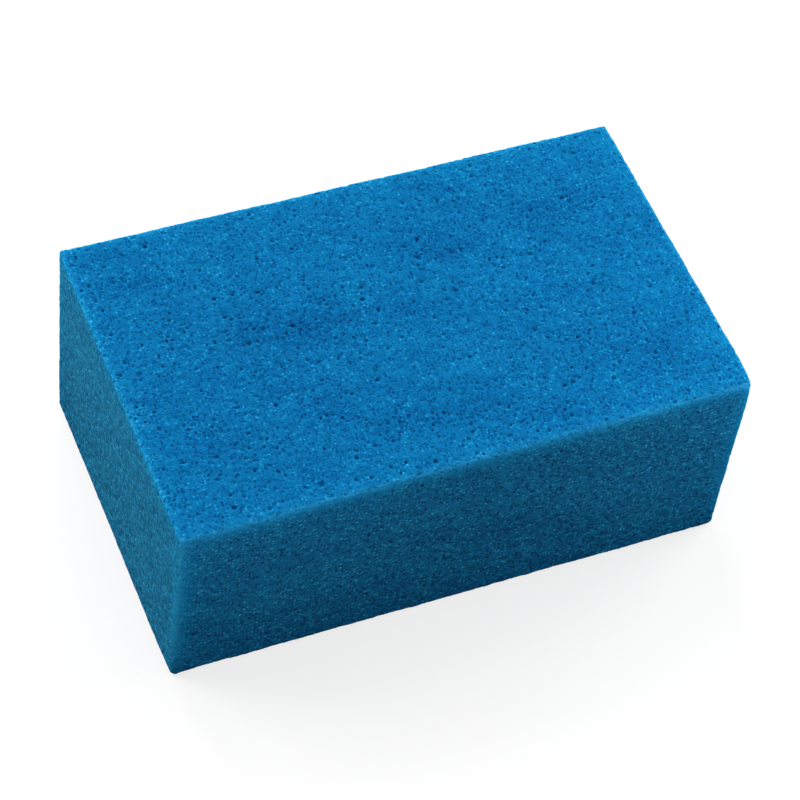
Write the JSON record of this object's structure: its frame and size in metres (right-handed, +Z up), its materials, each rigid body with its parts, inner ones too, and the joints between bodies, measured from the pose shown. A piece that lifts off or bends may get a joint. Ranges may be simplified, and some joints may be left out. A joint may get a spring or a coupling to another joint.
{
  "type": "grout sponge",
  "caption": "Plain rectangular block of blue open-cell foam, square cut with softened edges, for wiping grout off tiles.",
  "frame": {"origin": "centre of the base face, the broad face that the sponge rests on", "axes": "+Z up through the block's thickness, X along its length, Y across its width; -Y is the long side that faces the viewer"},
  "size_m": [0.175, 0.105, 0.07],
  "materials": {
    "foam": "open-cell foam, matte, finely pored"
  },
  "bodies": {
    "root": {"sponge_block": "foam"}
  },
  "joints": []
}
